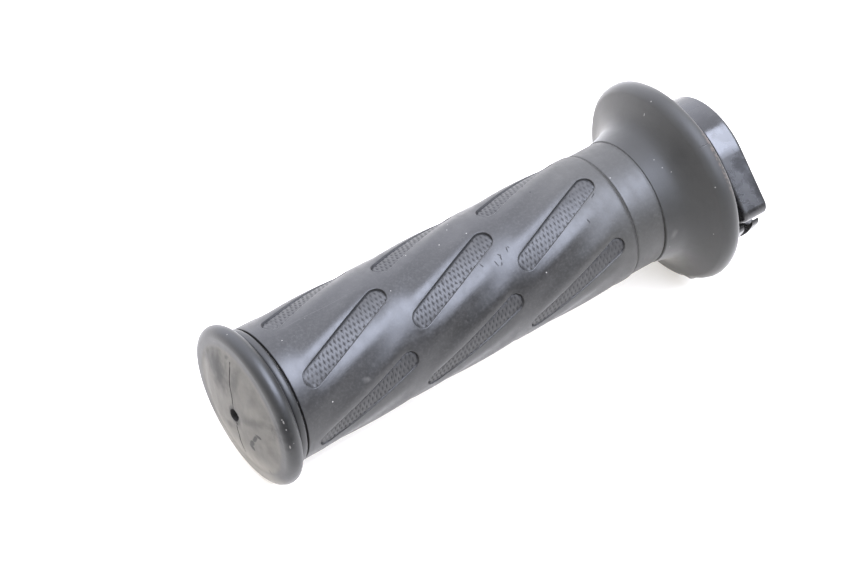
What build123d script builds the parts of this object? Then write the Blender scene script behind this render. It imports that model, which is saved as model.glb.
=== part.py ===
from build123d import *
import math
import os

# Throttle grip for a 22.2 mm handlebar, in millimetres.
#
# Frame: the origin is on the grip's axis at the mouth of the handlebar bore. +X points out of that
# mouth, towards the middle of the handlebar, and +Z is up, so the closed outer end is at -X.
# A place along the axis is an X value. Angles round the axis are in degrees, from +Z towards -Y.

# Lengths along the axis
DRUM_WIDTH = 7.5
FLANGE_START = -27.0
BAND_START = -35.3
SLEEVE_END = -132.0
TUBE_END = -137.0

# Radii of what turns on the handlebar
BORE_R = 11.15
MOUTH_CHAMFER = 0.4
TUBE_R = 13.0
SLEEVE_R = 16.85
BAND_R = 16.2

# Ribs and keys on the tube, which hold the rubber and the drum from turning
RIB_COUNT = 6
RIB_WIDTH = 2.0
RIB_HEIGHT = 0.8
RIB_ROOT = 0.5
RIBS_START = -130.0
RIBS_END = -13.0

# Sleeve edges
SLEEVE_EDGE = 0.5
SHOULDER_LENGTH = 2.0
SHOULDER_DROP = 0.15

# Slots: rings along the grip, each slot leaning round it
SLOT_RINGS = (-114.6, -84.3, -53.8)
SLOTS_PER_RING = 6
SLOT_FIRST_ANGLE = 28.3
SLOT_LEAN = 22.4
SLOT_CENTRES = 25.4
SLOT_WIDTH = 4.9
SLOT_FLOOR_R = 16.3

# End cap: a domed disc with an elliptical rim, a groove, a bead and a neck
DOME_CENTRE_X = -141.4
DOME_EDGE_X = -139.35
DOME_EDGE_R = 16.2
RIM_X = -137.1
RIM_R = 18.0
RIM_HALF_LENGTH = 2.2
RIM_HALF_HEIGHT = 2.3
GROOVE_X = -134.2
GROOVE_R = 16.9
BEAD_R = 17.3
NECK_X = -132.8
NECK_R = 15.6
PIN_HOLE_R = 0.9

# Hand flange
FLANGE_EDGE = 0.3
FLANGE_NECK_R = 16.5
FLANGE_R = 26.8
FLANGE_BACK = -12.4
LIP_R = 3.2
LIP_CENTRE_X = -14.2
LIP_OUTER_ANGLE = 150.0
LIP_TOP_ANGLE = 90.0
LIP_BACK_ANGLE = 60.0
BELL_POINTS = ((-23.5, 17.3), (-20.8, 18.5), (-18.2, 21.9))
BELL_START_SLOPE = 12.0

# Cable drum
DRUM_R = 16.9
DRUM_EDGE = 1.0
FLAT_ANGLE = 48.0
FLAT_LENGTH = 16.7
LOBE_CORNER_R = 2.6
WINDING_R = 21.4
WINDING_FROM = 107.0
WINDING_TO = 228.0
WINDING_CORNER_R = 1.5
WINDING_EDGE = 0.7
CABLE_GROOVE_WIDTH = 2.6
CABLE_GROOVE_DEPTH = 2.3
LEAD_IN_LENGTH = 7.0
LEAD_IN_BELOW = 0.9
SEAT_R = 2.8
SEAT_RADIUS = 17.85
SEAT_ANGLE = 109.7

FULL_TURN = 360.0
BEYOND = 40.0
TINY = 0.001


def on_circle(centre, radius, angle):
    """The point at an angle round a circle, from the outline's first direction."""
    a = math.radians(angle)
    return (centre[0] + radius * math.cos(a), centre[1] + radius * math.sin(a))


def outward(angle):
    """The direction away from the axis at an angle round it."""
    a = math.radians(angle)
    return Vector(0, -math.sin(a), math.cos(a))


def sidewards(angle):
    """The direction in which the angle round the axis grows."""
    a = math.radians(angle)
    return Vector(0, -math.cos(a), -math.sin(a))


def turned(edges):
    """The solid that a closed outline, in length along the axis and radius, sweeps round the axis."""
    return revolve(Plane.XZ * make_face(edges), Axis.X, FULL_TURN)


def bar(x_from, x_to, radius):
    """A round bar along the axis."""
    middle = (x_from + x_to) / 2
    return Plane.YZ.offset(middle) * Cylinder(radius, x_to - x_from)


def ribs(x_from, x_to):
    """The ribs that stand out of the tube between two places."""
    solids = []
    for i in range(RIB_COUNT):
        angle = i * FULL_TURN / RIB_COUNT
        low = TUBE_R - RIB_ROOT
        high = TUBE_R + RIB_HEIGHT
        centre = outward(angle) * ((low + high) / 2) + Vector((x_from + x_to) / 2, 0, 0)
        place = Plane(origin=centre, x_dir=(1, 0, 0), z_dir=outward(angle))
        solids.append(place * Box(x_to - x_from, RIB_WIDTH, high - low))
    return solids


def ribbed_bar(x_from, x_to):
    """The tube's outside as a solid bar, which the pieces that fit over it are cut with."""
    return bar(TUBE_END, 0, TUBE_R) + ribs(x_from, x_to)


def throttle_tube():
    """The plastic tube that turns on the handlebar."""
    outside = ribbed_bar(RIBS_START, RIBS_END) + ribs(-DRUM_WIDTH, 0)
    tube = outside - bar(TUBE_END - BEYOND, BEYOND, BORE_R)
    mouth = tube.edges().filter_by(GeomType.CIRCLE).filter_by(lambda e: abs(e.radius - BORE_R) < TINY)
    return chamfer(mouth.sort_by(Axis.X)[-1], MOUTH_CHAMFER)


def slot_cutter(x, angle):
    """One leaning slot with round ends, cut down to the slots' floor."""
    lean = math.radians(SLOT_LEAN)
    along = Vector(1, 0, 0) * math.cos(lean) - sidewards(angle) * math.sin(lean)
    place = Plane(origin=(x, 0, 0), x_dir=along, z_dir=outward(angle))
    return extrude(place * SlotCenterToCenter(SLOT_CENTRES, SLOT_WIDTH), amount=BEYOND)


def grip_sleeve():
    """The rubber body of the grip, with its shoulder, its plain band and its slots."""
    edge_x = SLEEVE_END + SLEEVE_EDGE
    edge_r = SLEEVE_R - SLEEVE_EDGE
    shoulder_x = BAND_START - SHOULDER_LENGTH
    shoulder_middle = (BAND_START - SHOULDER_LENGTH / 3, SLEEVE_R - SHOULDER_DROP)
    outline = [
        Line((SLEEVE_END, TUBE_R - RIB_ROOT), (SLEEVE_END, edge_r)),
        RadiusArc((SLEEVE_END, edge_r), (edge_x, SLEEVE_R), SLEEVE_EDGE),
        Line((edge_x, SLEEVE_R), (shoulder_x, SLEEVE_R)),
        ThreePointArc((shoulder_x, SLEEVE_R), shoulder_middle, (BAND_START, BAND_R)),
        Line((BAND_START, BAND_R), (FLANGE_START, BAND_R)),
        Line((FLANGE_START, BAND_R), (FLANGE_START, TUBE_R - RIB_ROOT)),
        Line((FLANGE_START, TUBE_R - RIB_ROOT), (SLEEVE_END, TUBE_R - RIB_ROOT)),
    ]
    floor = bar(SLEEVE_END, FLANGE_START, SLOT_FLOOR_R)
    cutters = []
    for x in SLOT_RINGS:
        for i in range(SLOTS_PER_RING):
            cutters.append(slot_cutter(x, SLOT_FIRST_ANGLE + i * FULL_TURN / SLOTS_PER_RING))
    body = turned(outline) - cutters + floor
    return body - ribbed_bar(RIBS_START, RIBS_END)


def end_cap():
    """The rubber disc that closes the outer end and holds the tube's end in its recess."""
    rim_x = RIM_X - RIM_HALF_LENGTH
    outline = [
        ThreePointArc((DOME_CENTRE_X, 0), dome_middle(), (DOME_EDGE_X, DOME_EDGE_R)),
        Line((DOME_EDGE_X, DOME_EDGE_R), (rim_x, RIM_R)),
        EllipticalCenterArc((RIM_X, RIM_R), RIM_HALF_LENGTH, RIM_HALF_HEIGHT, 0, arc_size=180),
        Line((RIM_X + RIM_HALF_LENGTH, RIM_R), (GROOVE_X, GROOVE_R)),
        ThreePointArc((GROOVE_X, GROOVE_R), ((GROOVE_X + NECK_X) / 2, BEAD_R), (NECK_X, GROOVE_R)),
        Line((NECK_X, GROOVE_R), (NECK_X, NECK_R)),
        Line((NECK_X, NECK_R), (SLEEVE_END, NECK_R)),
        Line((SLEEVE_END, NECK_R), (SLEEVE_END, 0)),
        Line((SLEEVE_END, 0), (DOME_CENTRE_X, 0)),
    ]
    return turned(outline) - bar(TUBE_END, BEYOND, TUBE_R) - bar(-BEYOND + DOME_CENTRE_X, 0, PIN_HOLE_R)


def dome_middle():
    """A point half way out on the end disc's dome, a quarter of the way down it."""
    return (DOME_CENTRE_X + (DOME_EDGE_X - DOME_CENTRE_X) / 4, DOME_EDGE_R / 2)


def hand_flange():
    """The rubber bell, with a round lip that ends in a small chamfer at its flat back."""
    lip = (LIP_CENTRE_X, FLANGE_R - LIP_R)
    lip_start = on_circle(lip, LIP_R, LIP_OUTER_ANGLE)
    lip_end = on_circle(lip, LIP_R, LIP_BACK_ANGLE)
    corner = (FLANGE_BACK, lip_end[1] - (FLANGE_BACK - lip_end[0]))
    start = (FLANGE_START + FLANGE_EDGE, FLANGE_NECK_R)
    start_slope = on_circle((0, 0), 1, BELL_START_SLOPE)
    end_slope = on_circle((0, 0), 1, LIP_OUTER_ANGLE - 90)
    inner_r = TUBE_R - RIB_ROOT
    outline = [
        Line((FLANGE_START, inner_r), (FLANGE_START, FLANGE_NECK_R - FLANGE_EDGE)),
        Line((FLANGE_START, FLANGE_NECK_R - FLANGE_EDGE), start),
        Spline(start, *BELL_POINTS, lip_start, tangents=[start_slope, end_slope]),
        ThreePointArc(lip_start, on_circle(lip, LIP_R, LIP_TOP_ANGLE), lip_end),
        Line(lip_end, corner),
        Line(corner, (FLANGE_BACK, inner_r)),
        Line((FLANGE_BACK, inner_r), (FLANGE_START, inner_r)),
    ]
    return turned(outline) - ribbed_bar(RIBS_START, RIBS_END)


def drum_lobe():
    """The lobe's outline: a flat that leaves the drum at a tangent and ends in a round corner."""
    normal = outward(FLAT_ANGLE)
    tangent = sidewards(FLAT_ANGLE)
    far = tangent * FLAT_LENGTH
    corners = [Vector(0, 0, 0), normal * DRUM_R, normal * DRUM_R + far, far]
    face = Plane.YZ * make_face(Polyline([(c.Y, c.Z) for c in corners], close=True))
    tip = face.vertices().sort_by_distance(corners[2])[0]
    return fillet(tip, LOBE_CORNER_R)


def winding_outline():
    """The outline of the sector that the cable lies round."""
    middle = (WINDING_FROM + WINDING_TO) / 2
    ends = [outward(a) * WINDING_R for a in (WINDING_FROM, middle, WINDING_TO)]
    flat = [(e.Y, e.Z) for e in ends]
    edges = [Line((0, 0), flat[0]), ThreePointArc(*flat), Line(flat[2], (0, 0))]
    face = Plane.YZ * make_face(edges)
    tips = [v for v in face.vertices() if v.center().length > DRUM_R]
    return fillet(tips, WINDING_CORNER_R)


def cable_groove():
    """What the cable's groove removes: a part ring, and the straight run into it from the seat."""
    floor_r = WINDING_R - CABLE_GROOVE_DEPTH
    half = CABLE_GROOVE_WIDTH / 2
    middle = -DRUM_WIDTH / 2
    ring = bar(middle - half, middle + half, WINDING_R + BEYOND) - bar(-BEYOND, BEYOND, floor_r)
    low = SEAT_RADIUS - LEAD_IN_BELOW
    height = WINDING_R + LOBE_CORNER_R - low
    centre = outward(SEAT_ANGLE) * (low + height / 2) + sidewards(SEAT_ANGLE) * (LEAD_IN_LENGTH / 2)
    place = Plane(
        origin=centre + Vector(middle, 0, 0), x_dir=sidewards(SEAT_ANGLE), z_dir=outward(SEAT_ANGLE)
    )
    return ring + place * Box(LEAD_IN_LENGTH, CABLE_GROOVE_WIDTH, height)


def rounded_plate(face, radius):
    """A plate of the drum's width with the edges of its two faces rounded."""
    plate = extrude(face, amount=-DRUM_WIDTH)
    ends = (plate.faces().sort_by(Axis.X)[0], plate.faces().sort_by(Axis.X)[-1])
    return fillet([e for end in ends for e in end.edges()], radius)


def cable_drum():
    """The drum that winds the throttle cable, with its lobe, the nipple's seat and the groove."""
    body = rounded_plate(Plane.YZ * Circle(DRUM_R) + drum_lobe(), DRUM_EDGE)
    winding = rounded_plate(winding_outline(), WINDING_EDGE) - cable_groove()
    centre = outward(SEAT_ANGLE) * SEAT_RADIUS
    seat = Pos(centre.X, centre.Y, centre.Z) * bar(-BEYOND, BEYOND, SEAT_R)
    return body + winding - seat - ribbed_bar(-DRUM_WIDTH, 0)


PIECES = {
    "throttle_tube": throttle_tube,
    "grip_sleeve": grip_sleeve,
    "end_cap": end_cap,
    "hand_flange": hand_flange,
    "cable_drum": cable_drum,
}

os.makedirs("parts", exist_ok=True)
for name, make in PIECES.items():
    export_step(make(), f"parts/{name}.step")
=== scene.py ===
import math

import bmesh
import bpy
from mathutils import Matrix, Vector
from mathutils.geometry import delaunay_2d_cdt


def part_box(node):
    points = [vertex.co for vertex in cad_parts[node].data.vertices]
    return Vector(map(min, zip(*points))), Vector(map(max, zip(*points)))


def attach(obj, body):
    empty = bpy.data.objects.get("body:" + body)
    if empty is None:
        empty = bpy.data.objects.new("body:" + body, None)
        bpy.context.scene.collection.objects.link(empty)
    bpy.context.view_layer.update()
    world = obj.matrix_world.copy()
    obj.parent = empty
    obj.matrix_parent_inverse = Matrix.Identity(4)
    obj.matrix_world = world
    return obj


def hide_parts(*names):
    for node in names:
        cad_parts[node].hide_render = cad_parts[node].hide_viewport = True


# Looks of a throttle grip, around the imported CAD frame.
#
# The rubber pieces are built here from rings of points. Lengths are in millimetres: x runs along the
# axis, r is the distance from it, and angles go round it from +Z towards -Y. A length round the grip
# is w, measured at WRAP_R. The plastic drum and tube are the CAD's own meshes with their own materials.

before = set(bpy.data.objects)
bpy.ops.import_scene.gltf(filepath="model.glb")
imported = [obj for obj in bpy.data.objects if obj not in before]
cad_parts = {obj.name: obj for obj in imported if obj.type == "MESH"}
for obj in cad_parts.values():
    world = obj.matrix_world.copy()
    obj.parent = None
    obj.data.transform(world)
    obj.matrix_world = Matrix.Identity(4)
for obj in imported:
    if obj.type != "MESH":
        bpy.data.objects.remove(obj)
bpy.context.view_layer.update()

MM = 0.001
FULL = 2 * math.pi
CREASE = math.radians(28)

# Points closer than this are one point: in a finished mesh, in metres, and in a flat one, in millimetres
MERGE = 2e-6
WELD = 1e-5


def node_span(node):
    """The lowest and highest x of a CAD node, in millimetres."""
    low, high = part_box(node)
    return low.x / MM, high.x / MM


SLEEVE_START, SLEEVE_STOP = node_span("grip_sleeve")
CAP_START, CAP_STOP = node_span("end_cap")
BELL_START, BELL_STOP = node_span("hand_flange")
TUBE_START, _ = node_span("throttle_tube")
CAP_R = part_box("end_cap")[1].z / MM
BELL_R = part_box("hand_flange")[1].z / MM

# The tube, which the rubber fits over, and its ribs. RIB_HALF and RIB_SIDE are in degrees round it
TUBE_R = 13.0
RIB_COUNT = 6
RIB_TOP_R = 13.85
RIB_HALF = 4.4
RIB_SIDE = 0.3
RIBS_FROM = -130.1
RIBS_TO = -12.95

# Slots: three rings of six, leaning round the grip
WRAP_R = 16.85
SLOTS_PER_RING = 6
SIXTH = FULL / SLOTS_PER_RING
RING_COUNT = 3
RING_PITCH = 30.4
FIRST_RING_X = -114.6
RING_X = [FIRST_RING_X + i * RING_PITCH for i in range(RING_COUNT)]
FIRST_ANGLE = math.radians(28.3)
LEAN = math.radians(22.4)
SLOT_HALF = 12.7
SLOT_R = 2.45

# A tile is one sixth of a ring, with one slot in its middle
TILE_X = RING_PITCH / 2
TILE_W = WRAP_R * SIXTH / 2
STEPS_X = 46
STEPS_W = 26
LAND_STEPS = (0.0, 0.14, 0.28, 0.41, 0.53, 0.64, 0.74, 0.83, 0.90, 0.96, 1.0)
EDGE_R = 0.18
EDGE_STEPS = 4
EDGE_SHARE = 0.6
WALL_DRAFT = 0.10

# Knurl: a net of ridges round diamond pits, worn shallower towards the bell. NET_X and NET_W are its
# cycles per millimetre along x and w
NET_X = 0.86
NET_W = 0.325
NET_RIDGE = 0.08
NET_DEPTH = 0.22
NET_BELOW = 0.31
NET_WORN_X = (-72.0, -44.0)
NET_WORN = 0.22

# The knurl's ridges sink into a moat along the slot's upper wall, as the camera sees it, and its ends
MOAT_WIDTH = 0.5
MOAT_STEPS = 96
MOAT_FADE = (0.6, 1.8)

# The land between the slots swells along both edges of each slot. SWELL pairs a length round the grip
# from the slot's middle line with the height there
LAND_R = 16.78
LAND_TAPER = 0.0018
LAND_MEAN = 0.08
SWELL = (
    (-TILE_W, -0.04), (-7.2, 0.02), (-5.7, 0.20), (-4.4, 0.27), (-3.4, 0.16), (-2.65, 0.02),
    (0.0, -0.05), (2.65, -0.08), (4.3, 0.07), (5.8, 0.17), (7.3, 0.06),
)
SWELL_FADE = (9.5, 15.2)
END_SWELL = 0.13
END_SWELL_FADE = (3.5, 9.0)

# The seam before the bell: SEAM_TOP is its share of depth at the top, and SEAM_FADE the degrees from
# there over which it deepens
SEAM_FROM = -28.4
SEAM_R = 16.28
SEAM_TOP = 0.12
SEAM_FADE = (35.0, 115.0)

# The sleeve's outline before the slots: its face's depths under the land, its rounding and its flat
FRONT_FACE = (0.45, 0.3)
FRONT_EDGE = 0.25
FRONT_FLAT = (1.0, 1.6)

# Its outline behind them, as x and r, the last of it counted from the sleeve's end
SHOULDER = (
    (-38.1, 16.68), (-37.6, 16.67), (-37.2, 16.655), (-36.9, 16.635), (-36.6, 16.60), (-36.35, 16.53),
    (-36.1, 16.41), (-35.9, 16.28), (-35.75, 16.17), (-35.66, 16.10), (-35.58, 16.08), (-35.5, 16.16),
    (-35.42, 16.24), (-35.3, 16.28),
)
BAND = ((-35.0, 16.29), (-34.0, 16.28), (-32.5, 16.27), (-31.0, 16.27), (-29.5, 16.28), (-28.3, 16.28))
BAND_EDGE = ((-27.8, 16.26), (-27.55, 16.2), (-27.4, 16.08), (-27.3, 15.9))
BAND_END = ((-0.25, 15.6), (0.0, 15.55))

ROUND_STEPS = SLOTS_PER_RING * STEPS_W
CAP_STEPS = 192
BELL_STEPS = 288


def smooth(t):
    """0 to 1 with level ends."""
    t = ramp(t)
    return t * t * (3 - 2 * t)


def ramp(t):
    """0 to 1 with straight sides."""
    return min(1.0, max(0.0, t))


def place(x, angle, r):
    """A point in the row's frame, in metres."""
    return Vector((x * MM, -r * math.sin(angle) * MM, r * math.cos(angle) * MM))


def curve(points, step):
    """Points along a smooth line through the given ones, about a step apart."""
    out = []
    last = len(points) - 1
    for i in range(last):
        p = [Vector(points[min(last, max(0, i + k))]) for k in (-1, 0, 1, 2)]
        count = max(1, round((p[2] - p[1]).length / step))
        for k in range(count):
            t = k / count
            out.append(
                0.5 * (2 * p[1] + (p[2] - p[0]) * t + (2 * p[0] - 5 * p[1] + 4 * p[2] - p[3]) * t * t
                       + (3 * p[1] - p[0] - 3 * p[2] + p[3]) * t ** 3)
            )
    out.append(Vector(points[-1]))
    return [tuple(p) for p in out]


def arc(centre, half_x, half_r, start, stop, steps):
    """Points on part of an ellipse, from one angle in degrees to another, 0 being +x and 90 outwards."""
    out = []
    for i in range(steps + 1):
        a = math.radians(start + (stop - start) * i / steps)
        out.append((centre[0] + half_x * math.cos(a), centre[1] + half_r * math.sin(a)))
    return out


# ---------------------------------------------------------------- meshes


def mesh_object(name, points, faces, inside=()):
    """A closed mesh from points in metres and faces, with its creases kept sharp.
    The faces whose numbers are in inside take the second material."""
    bm = bmesh.new()
    verts = [bm.verts.new(p) for p in points]
    for number, f in enumerate(faces):
        face = bm.faces.new([verts[i] for i in f])
        face.smooth = True
        face.material_index = 1 if number in inside else 0
    bmesh.ops.remove_doubles(bm, verts=bm.verts, dist=MERGE)
    bmesh.ops.recalc_face_normals(bm, faces=bm.faces)
    for e in bm.edges:
        e.smooth = e.calc_face_angle(0.0) < CREASE
    mesh = bpy.data.meshes.new(name)
    bm.to_mesh(mesh)
    bm.free()
    obj = bpy.data.objects.new(name, mesh)
    bpy.context.scene.collection.objects.link(obj)
    return obj


def strips(points, faces, rings):
    """Adds rings of points, and the quads between each ring and the next."""
    count = len(rings[0])
    base = len(points)
    for ring in rings:
        points += ring
    for row in range(len(rings) - 1):
        a, b = base + row * count, base + (row + 1) * count
        for i in range(count):
            j = (i + 1) % count
            faces.append([a + i, a + j, b + j, b + i])


def used_only(points, faces):
    """Leaves out the points that no face uses: the points kept, the faces, and the old numbers' new ones."""
    used = sorted({i for f in faces for i in f})
    number = {old: new for new, old in enumerate(used)}
    return [points[i] for i in used], [[number[i] for i in f] for f in faces], number


def round_ring(x, r, count, start=0.0):
    """A ring of points round the axis."""
    return [place(x, start + FULL * i / count, r) for i in range(count)]


def seam_ring(x, r, count, start):
    """A ring round the axis that sinks into the seam before the bell, fully only on its lower side."""
    ring = []
    for i in range(count):
        a = start + FULL * i / count
        low = abs(math.degrees(math.atan2(math.sin(a), math.cos(a))))
        share = SEAM_TOP + (1 - SEAM_TOP) * smooth((low - SEAM_FADE[0]) / (SEAM_FADE[1] - SEAM_FADE[0]))
        sunk = max(0.0, SEAM_R - r) if x > SEAM_FROM else 0.0
        ring.append(place(x, a, r + sunk * (1 - share)))
    return ring


def rib_ring(x, grooved, count, start):
    """A ring on the tube's outside. A grooved one goes round the tube's ribs."""
    foot = RIB_HALF + RIB_SIDE
    steep = [(-foot, 0), (-RIB_HALF, 1), (0.0, 1), (RIB_HALF, 1), (foot, 0)]
    plain = count // RIB_COUNT - len(steep)
    gap = 360 / RIB_COUNT - 2 * foot
    section = steep + [(foot + gap * (i + 1) / (plain + 1), 0) for i in range(plain)]
    ring, on_tube = [], []
    for rib in range(RIB_COUNT):
        for degrees, raised in section:
            a = math.radians(degrees + rib * 360 / RIB_COUNT)
            ring.append(place(x, a, RIB_TOP_R if raised and grooved else TUBE_R))
            on_tube.append(place(x, a, TUBE_R))
    first = min(range(count), key=lambda i: (on_tube[i] - place(x, start, TUBE_R)).length)
    return ring[first:] + ring[:first]


def plain_radius(x):
    """The radius of the grip's body without the swells along its slots."""
    s = x - SLEEVE_START
    end = 1 - smooth((s - END_SWELL_FADE[0]) / (END_SWELL_FADE[1] - END_SWELL_FADE[0]))
    return LAND_R - LAND_TAPER * s + END_SWELL * end


def swell_at(q):
    """How far the land stands out at a distance across the slots, counted round the grip."""
    knots = [(SWELL[-1][0] - 2 * TILE_W, SWELL[-1][1])] + list(SWELL)
    knots += [(a + 2 * TILE_W, h) for a, h in SWELL[:3]]
    q = (q + TILE_W) % (2 * TILE_W) - TILE_W
    for i in range(1, len(knots) - 2):
        if knots[i][0] <= q <= knots[i + 1][0]:
            break
    (a0, h0), (a1, h1), (a2, h2), (a3, h3) = knots[i - 1:i + 3]
    t = (q - a1) / (a2 - a1)
    s1 = (h2 - h0) / (a2 - a0) * (a2 - a1)
    s2 = (h3 - h1) / (a3 - a1) * (a2 - a1)
    return (
        h1 * (1 + 2 * t) * (1 - t) ** 2 + s1 * t * (1 - t) ** 2
        + h2 * t * t * (3 - 2 * t) + s2 * t * t * (t - 1)
    )


def land_radius(x, dx, dw):
    """The radius of the land at a place in a tile."""
    strength = 1 - smooth((abs(dx) - SWELL_FADE[0]) / (SWELL_FADE[1] - SWELL_FADE[0]))
    swell = swell_at(dw + math.tan(LEAN) * dx)
    return plain_radius(x) + LAND_MEAN + (swell - LAND_MEAN) * strength


def slot_outline(grow, count):
    """Points round a slot's outline, grown by a distance, in the tile's own directions."""
    radius = SLOT_R + grow
    straight = 2 * SLOT_HALF
    bend = math.pi * SLOT_R
    along = Vector((math.cos(LEAN), -math.sin(LEAN)))
    across = Vector((math.sin(LEAN), math.cos(LEAN)))
    points = []
    for i in range(count):
        t = 2 * (straight + bend) * i / count
        side = 1 if t < straight + bend else -1
        t = t % (straight + bend)
        if t < straight:
            u, v = t - SLOT_HALF, -radius
        else:
            a = (t - straight) / SLOT_R - math.pi / 2
            u, v = SLOT_HALF + radius * math.cos(a), radius * math.sin(a)
        points.append(side * (along * u + across * v))
    return points


def tile_rim():
    """Points round a tile's edge, in the same sense as the slot's outline."""
    corners = [(-TILE_X, -TILE_W), (TILE_X, -TILE_W), (TILE_X, TILE_W), (-TILE_X, TILE_W)]
    points = []
    for i, count in enumerate((STEPS_X, STEPS_W, STEPS_X, STEPS_W)):
        a, b = Vector(corners[i]), Vector(corners[(i + 1) % 4])
        points += [a.lerp(b, k / count) for k in range(count)]
    return points


def net_height(p):
    """From 0 in the middle of a pit to 1 on a ridge."""
    pitch = 1 / math.hypot(NET_X, NET_W)
    nearest = pitch
    for sign in (1, -1):
        f = NET_X * p[0] + sign * NET_W * p[1]
        nearest = min(nearest, abs(f - round(f)) * pitch)
    return 1 - ramp((nearest - NET_RIDGE) / (pitch / 2 - NET_RIDGE))


def moat(p):
    """1 at the foot of the slot's upper wall and ends, fading inwards and towards the lower wall."""
    along = p[0] * math.cos(LEAN) - p[1] * math.sin(LEAN)
    across = p[0] * math.sin(LEAN) + p[1] * math.cos(LEAN)
    inwards = SLOT_R - math.hypot(max(0.0, abs(along) - SLOT_HALF), across)
    near = 1 - smooth((inwards - WALL_DRAFT) / MOAT_WIDTH)
    return near * (1 - smooth((across - MOAT_FADE[0]) / (MOAT_FADE[1] - MOAT_FADE[0])))


def knurl_floor(outline):
    """The slot's floor, cut up along the knurl's ridges: points, triangles, its rim, and where the outline's
    own points come in the rim."""
    points = list(outline)
    count = len(outline)
    edges = []
    pitch = 1 / math.hypot(NET_X, NET_W)
    reach = SLOT_HALF + 2 * SLOT_R
    lines = round(reach / pitch)
    for sign in (1, -1):
        normal = Vector((NET_X, sign * NET_W)).normalized()
        run = Vector((-normal.y, normal.x))
        for i in range(-lines, lines + 1):
            for side in (-NET_RIDGE, NET_RIDGE):
                middle = normal * (i * pitch + side)
                edges.append((len(points), len(points) + 1))
                points += [middle - run * reach, middle + run * reach]
    for i in range(-lines, lines):
        for j in range(-lines, lines):
            points.append(Vector(((i + j + 1) / (2 * NET_X), (i - j) / (2 * NET_W))))
    first = len(points)
    points += slot_outline(-WALL_DRAFT - MOAT_WIDTH, MOAT_STEPS)
    edges += [(first + i, first + (i + 1) % MOAT_STEPS) for i in range(MOAT_STEPS)]
    verts, _, faces, sources, _, origins = delaunay_2d_cdt(points, edges, [list(range(count))], 0, WELD)
    keep = [f for f, origin in zip(faces, origins) if origin]
    directed = {(a, b) for f in keep for a, b in zip(f, f[1:] + f[:1])}
    follow = {a: b for a, b in directed if (b, a) not in directed}
    corner = {s: i for i, group in enumerate(sources) for s in group if s < count}
    rim = [corner[0]]
    while follow[rim[-1]] != rim[0]:
        rim.append(follow[rim[-1]])
    spans = [rim.index(corner[i]) for i in range(count)]
    kept, triangles, number = used_only(verts, keep)
    return kept, triangles, [number[i] for i in rim], spans


def best_shift(ring, rim):
    """How far to turn a ring's numbering so that it lies closest to the rim's."""
    count = len(ring)

    def spread(shift):
        return sum((ring[(i + shift) % count] - rim[i]).length_squared for i in range(count))

    return min(range(count), key=spread)


def tile():
    """One tile: points as (dx, dw, kind, amount), faces, and the numbers of those inside the slot."""
    rim = tile_rim()
    count = len(rim)
    shift = best_shift(slot_outline(EDGE_R, count), rim)

    def outline(grow):
        ring = slot_outline(grow, count)
        return ring[shift:] + ring[:shift]

    outer = outline(EDGE_R)
    points, faces = [], []
    for t in LAND_STEPS:
        points += [(*a.lerp(b, t), "land", 0.0) for a, b in zip(rim, outer)]
    for k in range(1, EDGE_STEPS + 1):
        a = math.pi / 2 * k / EDGE_STEPS
        points += [(*p, "edge", 1 - math.cos(a)) for p in outline(EDGE_R * (1 - math.sin(a)))]
    rows = len(LAND_STEPS) + EDGE_STEPS
    for row in range(rows - 1):
        a, b = row * count, (row + 1) * count
        for i in range(count):
            j = (i + 1) % count
            faces.append([a + i, a + j, b + j, b + i])
    floor, triangles, floor_rim, spans = knurl_floor(outline(-WALL_DRAFT))
    base = len(points)
    points += [(p[0], p[1], "floor", net_height(p) * (1 - moat(p))) for p in floor]
    lip = (rows - 1) * count
    inside = set()
    for i in range(count):
        start, stop = spans[i], spans[(i + 1) % count]
        if stop <= start:
            stop += len(floor_rim)
        bottom = [base + floor_rim[k % len(floor_rim)] for k in range(start, stop + 1)]
        inside.add(len(faces))
        faces.append([lip + i, lip + (i + 1) % count] + bottom[::-1])
    for f in triangles:
        inside.add(len(faces))
        faces.append([base + i for i in f])
    return points, faces, inside


def tile_radius(x, dx, dw, kind, amount):
    """The radius of one of a tile's points."""
    land = land_radius(x, dx, dw)
    top = plain_radius(x) - NET_BELOW
    if kind == "land":
        return land
    if kind == "edge":
        return land - min(EDGE_R, EDGE_SHARE * (land - top)) * amount
    worn = NET_WORN * smooth((x - NET_WORN_X[0]) / (NET_WORN_X[1] - NET_WORN_X[0]))
    return top - NET_DEPTH * (1 - amount) * (1 - worn)


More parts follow.
